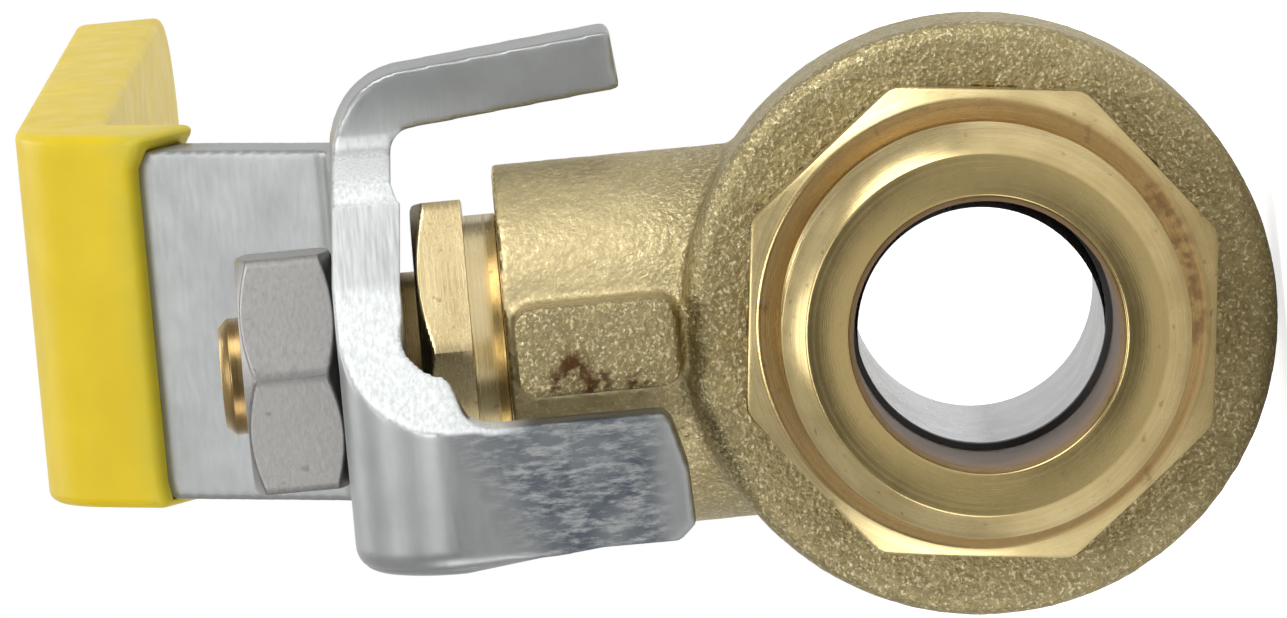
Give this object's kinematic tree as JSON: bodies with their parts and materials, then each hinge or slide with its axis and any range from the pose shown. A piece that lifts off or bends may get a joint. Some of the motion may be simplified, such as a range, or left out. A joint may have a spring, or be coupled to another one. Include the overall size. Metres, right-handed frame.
{
  "type": "ball valve",
  "caption": "Quarter-turn brass ball valve with a male and a female pipe end and a flat steel lever in a yellow plastic sleeve.",
  "frame": {"origin": "centre of the flat sealing face at the male (front) end, on the flow axis", "axes": "+Y runs along the flow axis into the valve, +Z runs along the stem away from the body, +X is to the right when looking along +Y; the lever points towards +Y"},
  "size_m": [0.0318, 0.1112, 0.0655],
  "materials": {
    "forged_brass": "shot-blasted hot forging, fine rough grain, slightly dull",
    "machined_brass": "turned, fine concentric tool marks, bright",
    "chromed_ball": "polished chrome plate",
    "zinc_steel": "bright zinc plate over pressed steel, scuffed",
    "nut_steel": "satin plated hexagon nut",
    "yellow_pvc": "soft dipped plastic sleeve, satin",
    "seat_compound": "carbon-filled low-friction seat compound, matt",
    "white_ptfe": "waxy white low-friction plastic",
    "black_rubber": "matt nitrile rubber"
  },
  "bodies": {
    "housing": {"valve_body": "forged_brass", "end_connector": "machined_brass", "connector_o_ring": "black_rubber", "front_seat": "seat_compound", "rear_seat": "seat_compound", "thrust_washer": "white_ptfe", "packing_ring_lower": "white_ptfe", "packing_ring_upper": "white_ptfe", "packing_follower": "machined_brass", "gland_nut": "machined_brass"},
    "lever": {"stem": "machined_brass", "stem_o_ring_lower": "black_rubber", "stem_o_ring_upper": "black_rubber", "lever": "zinc_steel", "lever_sleeve": "yellow_pvc", "lever_nut": "nut_steel"},
    "ball": {"ball": "chromed_ball"}
  },
  "joints": [
    {"name": "lever_turn", "type": "hinge", "parent": "housing", "child": "lever", "pos_m": [0, 0.0258, 0.02], "axis": [0, 0, -1], "range_deg": [-4.2, 85.8]},
    {"name": "ball_turn", "type": "hinge", "parent": "housing", "child": "ball", "pos_m": [0, 0.0258, 0], "axis": [0, 0, -1], "range_deg": [-4.2, 85.8]}
  ],
  "couplings": [
    {"joint": "ball_turn", "follows": "lever_turn", "ratio": 1}
  ]
}
